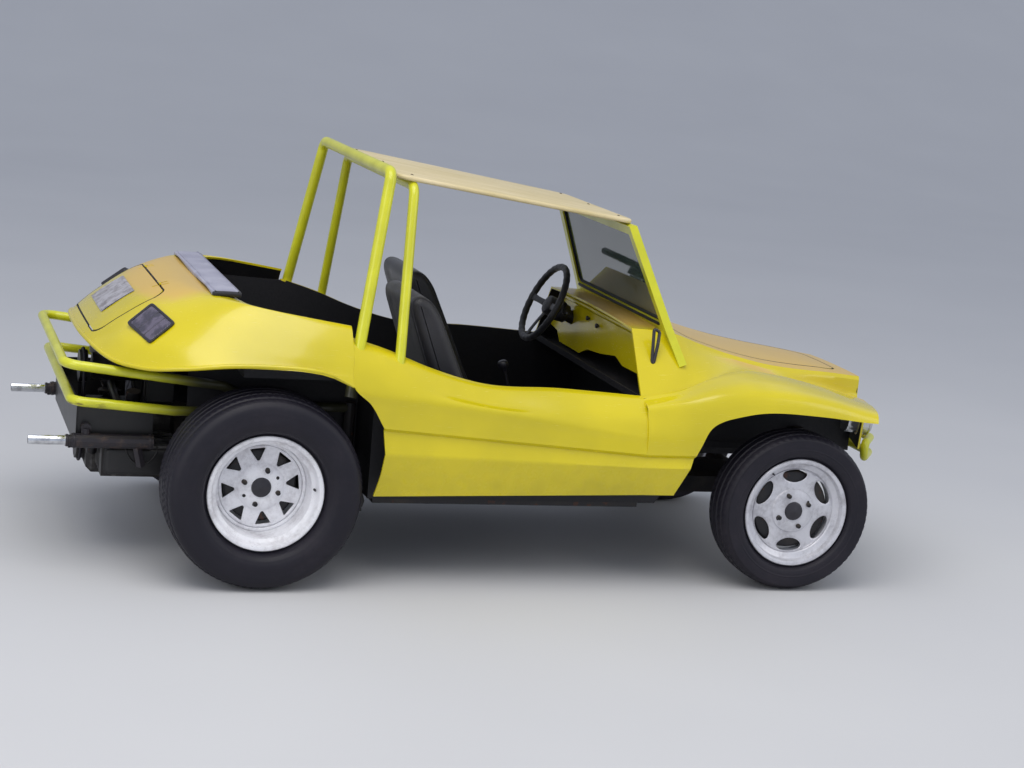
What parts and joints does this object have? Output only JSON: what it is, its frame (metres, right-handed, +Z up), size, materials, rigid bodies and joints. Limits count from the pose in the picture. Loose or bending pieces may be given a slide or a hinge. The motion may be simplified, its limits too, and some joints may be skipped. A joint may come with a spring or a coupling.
{
  "type": "dune buggy",
  "caption": "Open fibreglass dune buggy with roll hoops, flat roof panel, raked windshield, bucket seats and tubular bumpers, rolling and steering on wide wheels.",
  "frame": {"origin": "ground under the middle of the overall length and width", "axes": "+X to the nose, +Y to the car's left, +Z up"},
  "size_m": [3.34, 1.653, 1.5104],
  "materials": {
    "body_yellow": "gloss",
    "tube_yellow": "satin",
    "roof_cream": "satin",
    "tub_black": "matte",
    "seat_black": "matte",
    "pad_grey": "matte",
    "glass": "clear",
    "tyre": "matte",
    "rim_white": "gloss",
    "rim_silver": "gloss",
    "steel_dark": "matte",
    "engine_metal": "cast",
    "lamp_dark": "gloss",
    "lamp_clear": "clear",
    "plate_grey": "blank"
  },
  "bodies": {
    "base": {"arch_liner_left": "tub_black", "arch_liner_right": "tub_black", "chassis": "steel_dark", "cockpit_tub": "tub_black", "dashboard": "body_yellow", "deck_pad": "pad_grey", "engine": "engine_metal", "engine_apron": "tub_black", "exhaust": "steel_dark", "fan_shroud": "steel_dark", "front_axle": "steel_dark", "front_body": "body_yellow", "front_bumper": "tube_yellow", "fuel_tank": "steel_dark", "front_hoop": "tube_yellow", "gear_lever": "tub_black", "headlamp_left": "lamp_clear", "headlamp_right": "lamp_clear", "main_hoop": "tube_yellow", "pedals": "tub_black", "rear_axle": "steel_dark", "rear_bumper": "tube_yellow", "roof_panel": "roof_cream", "seat_left": "seat_black", "seat_right": "seat_black", "side_left": "body_yellow", "side_right": "body_yellow", "steering_column": "tub_black", "tail_body": "body_yellow", "tail_lamp_left": "lamp_dark", "tail_lamp_right": "lamp_dark", "windshield_frame": "tube_yellow", "windshield_glass": "glass"},
    "wheel_rear_right": {"rim_rear_right": "rim_white", "tyre_rear_right": "tyre"},
    "wheel_rear_left": {"rim_rear_left": "rim_white", "tyre_rear_left": "tyre"},
    "wheel_front_right": {"rim_front_right": "rim_silver", "tyre_front_right": "tyre"},
    "wheel_front_left": {"rim_front_left": "rim_silver", "tyre_front_left": "tyre"},
    "knuckle_right": {"knuckle_right": "steel_dark"},
    "knuckle_left": {"knuckle_left": "steel_dark"},
    "steering_wheel": {"steering_wheel": "seat_black"},
    "front_hood": {"front_hood": "body_yellow"},
    "rear_lid": {"rear_lid": "body_yellow", "number_plate": "plate_grey"}
  },
  "joints": [
    {"name": "roll_rear_right", "type": "hinge", "parent": "base", "child": "wheel_rear_right", "pos_m": [-0.87, -0.7, 0.353], "axis": [0, 1, 0], "continuous": true},
    {"name": "roll_rear_left", "type": "hinge", "parent": "base", "child": "wheel_rear_left", "pos_m": [-0.87, 0.7, 0.353], "axis": [0, 1, 0], "continuous": true},
    {"name": "steer_right", "type": "hinge", "parent": "base", "child": "knuckle_right", "pos_m": [1.18, -0.6, 0.306], "axis": [0, 0, 1], "range_deg": [-28, 28]},
    {"name": "steer_left", "type": "hinge", "parent": "base", "child": "knuckle_left", "pos_m": [1.18, 0.6, 0.306], "axis": [0, 0, 1], "range_deg": [-28, 28]},
    {"name": "roll_front_right", "type": "hinge", "parent": "knuckle_right", "child": "wheel_front_right", "pos_m": [1.18, -0.68, 0.306], "axis": [0, 1, 0], "continuous": true},
    {"name": "roll_front_left", "type": "hinge", "parent": "knuckle_left", "child": "wheel_front_left", "pos_m": [1.18, 0.68, 0.306], "axis": [0, 1, 0], "continuous": true},
    {"name": "steering_wheel_turn", "type": "hinge", "parent": "base", "child": "steering_wheel", "pos_m": [0.452, 0.33, 0.907], "axis": [-0.9063, 0, 0.4226], "range_deg": [-395, 395]},
    {"name": "front_hood_hinge", "type": "hinge", "parent": "base", "child": "front_hood", "pos_m": [0.77037, 0, 0.93714], "axis": [0, -1, 0], "range_deg": [0, 55]},
    {"name": "rear_lid_hinge", "type": "hinge", "parent": "base", "child": "rear_lid", "pos_m": [-1.20738, 0, 0.9994], "axis": [0, 1, 0], "range_deg": [0, 50]}
  ],
  "couplings": [
    {"joint": "steer_left", "follows": "steer_right", "ratio": 1},
    {"joint": "steering_wheel_turn", "follows": "steer_right", "ratio": 14}
  ]
}
